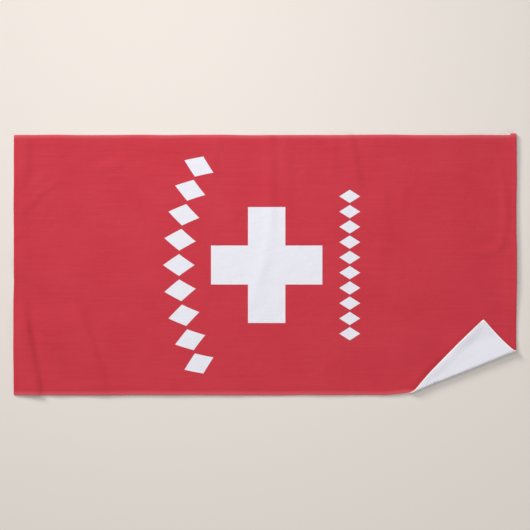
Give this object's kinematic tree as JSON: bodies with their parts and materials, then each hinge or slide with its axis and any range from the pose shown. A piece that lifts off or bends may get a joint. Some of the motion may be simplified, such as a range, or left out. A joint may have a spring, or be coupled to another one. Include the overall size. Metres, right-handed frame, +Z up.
{
  "type": "beach towel",
  "caption": "Rectangular printed terry beach towel lying flat, hemmed on all sides, with one corner turned over so that its pale back shows.",
  "frame": {"origin": "under the middle of the towel, at the height of the surface it lies on", "axes": "+X along the towel, towards the end with the turned corner; +Y across it, away from that corner; +Z up"},
  "size_m": [1.524, 0.7901, 0.016],
  "materials": {
    "printed_pile": "matte",
    "white_terry": "matte",
    "needle_thread": "satin",
    "bobbin_thread": "satin"
  },
  "bodies": {
    "field": {"terry_field": "printed_pile", "left_hem": "printed_pile", "right_hem": "printed_pile", "front_hem": "printed_pile", "back_hem": "printed_pile", "left_needle_thread": "needle_thread", "right_needle_thread": "needle_thread", "front_needle_thread": "needle_thread", "back_needle_thread": "needle_thread", "left_bobbin_thread": "bobbin_thread", "right_bobbin_thread": "bobbin_thread", "front_bobbin_thread": "bobbin_thread", "back_bobbin_thread": "bobbin_thread", "roll_lower": "white_terry"},
    "turned_corner": {"roll_upper": "white_terry", "terry_corner": "white_terry", "corner_front_hem": "white_terry", "corner_right_hem": "white_terry", "corner_front_needle_thread": "needle_thread", "corner_right_needle_thread": "needle_thread", "corner_front_bobbin_thread": "bobbin_thread", "corner_right_bobbin_thread": "bobbin_thread"}
  },
  "joints": [
    {"name": "corner_fold", "type": "hinge", "parent": "field", "child": "turned_corner", "pos_m": [0.42106, -0.39514, 0.00829], "axis": [0.9289, 0.3705, 0], "range_deg": [0, 184.06]}
  ]
}
